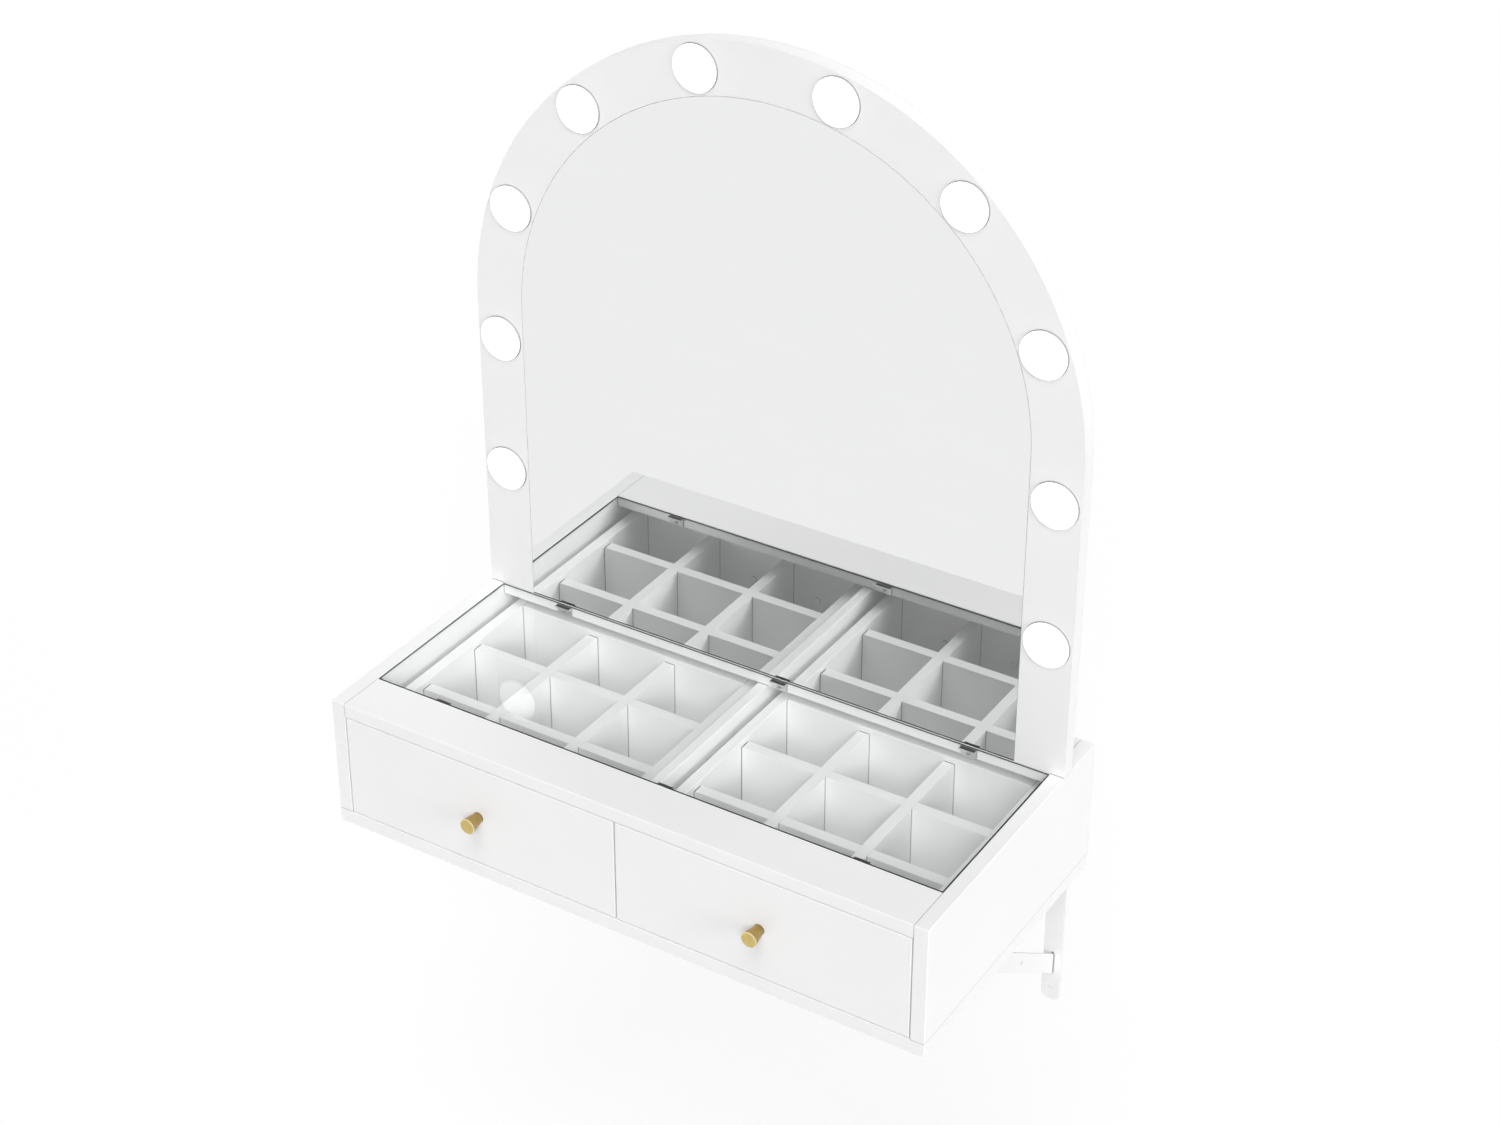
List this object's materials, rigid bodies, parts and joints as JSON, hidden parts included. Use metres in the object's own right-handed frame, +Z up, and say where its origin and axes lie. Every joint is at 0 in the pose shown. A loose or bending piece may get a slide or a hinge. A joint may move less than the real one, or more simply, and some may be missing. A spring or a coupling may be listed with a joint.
{
  "type": "wall-mounted vanity",
  "caption": "Wall-mounted vanity with an arched light mirror, a flush glass top over divided drawers and steel wall brackets.",
  "frame": {"origin": "centre of the rectangle of the four wall-screw holes, on the wall plane", "axes": "+X to the right seen from the room, +Y into the wall, +Z up; the drawers open along -Y"},
  "size_m": [0.8, 0.418, 1.1859],
  "materials": {
    "white_lacquer": "white satin lacquer on board",
    "clear_glass": "clear polished",
    "clip_steel": "bright nickel",
    "zinc_steel": "zinc plated",
    "beech": "raw beech",
    "slide_steel": "zinc plated, rolled",
    "mirror_silver": "silvered float glass",
    "opal_lens": "opal acrylic, lit from behind",
    "led_board": "white coated board",
    "driver_plastic": "moulded, fine grain",
    "white_steel": "white powder coat",
    "brass": "satin brushed brass"
  },
  "bodies": {
    "case": {"bottom_panel": "white_lacquer", "side_panel_left": "white_lacquer", "side_panel_right": "white_lacquer", "front_rail": "white_lacquer", "rear_rail": "white_lacquer", "centre_partition": "white_lacquer", "back_panel": "white_lacquer", "glass_top": "clear_glass", "glass_clips": "clip_steel", "case_screws": "zinc_steel", "case_dowels": "beech", "pan_head_screws": "zinc_steel", "slide_channels": "slide_steel", "slide_channel_screws": "zinc_steel", "mirror_back_board": "white_lacquer", "mirror_border": "white_lacquer", "mirror_glass": "mirror_silver", "led_boards": "led_board", "led_driver": "driver_plastic", "mirror_brackets": "slide_steel", "wall_bracket_left": "white_steel", "wall_bracket_right": "white_steel", "light_lens_01": "opal_lens", "light_lens_02": "opal_lens", "light_lens_03": "opal_lens", "light_lens_04": "opal_lens", "light_lens_05": "opal_lens", "light_lens_06": "opal_lens", "light_lens_07": "opal_lens", "light_lens_08": "opal_lens", "light_lens_09": "opal_lens", "light_lens_10": "opal_lens"},
    "drawer_left": {"drawer_front_left": "white_lacquer", "box_front_left": "white_lacquer", "box_back_left": "white_lacquer", "box_inner_side_left": "white_lacquer", "box_outer_side_left": "white_lacquer", "drawer_bottom_left": "white_lacquer", "divider_lengthwise_left_1": "white_lacquer", "divider_lengthwise_left_2": "white_lacquer", "divider_cross_left_1": "white_lacquer", "divider_cross_left_2": "white_lacquer", "knob_left": "brass", "drawer_screws_left": "zinc_steel", "slide_runners_left": "slide_steel"},
    "ball_cage_left": {"ball_cages_left": "slide_steel"},
    "drawer_right": {"drawer_front_right": "white_lacquer", "box_front_right": "white_lacquer", "box_back_right": "white_lacquer", "box_inner_side_right": "white_lacquer", "box_outer_side_right": "white_lacquer", "drawer_bottom_right": "white_lacquer", "divider_lengthwise_right_1": "white_lacquer", "divider_lengthwise_right_2": "white_lacquer", "divider_cross_right_1": "white_lacquer", "divider_cross_right_2": "white_lacquer", "knob_right": "brass", "drawer_screws_right": "zinc_steel", "slide_runners_right": "slide_steel"},
    "ball_cage_right": {"ball_cages_right": "slide_steel"}
  },
  "joints": [
    {"name": "drawer_left_slide", "type": "slide", "parent": "case", "child": "drawer_left", "axis": [0, -1, 0], "range_m": [0, 0.22]},
    {"name": "ball_cage_left_slide", "type": "slide", "parent": "case", "child": "ball_cage_left", "axis": [0, -1, 0], "range_m": [0, 0.11]},
    {"name": "drawer_right_slide", "type": "slide", "parent": "case", "child": "drawer_right", "axis": [0, -1, 0], "range_m": [0, 0.22]},
    {"name": "ball_cage_right_slide", "type": "slide", "parent": "case", "child": "ball_cage_right", "axis": [0, -1, 0], "range_m": [0, 0.11]}
  ],
  "couplings": [
    {"joint": "ball_cage_left_slide", "follows": "drawer_left_slide", "ratio": 0.5},
    {"joint": "ball_cage_right_slide", "follows": "drawer_right_slide", "ratio": 0.5}
  ]
}
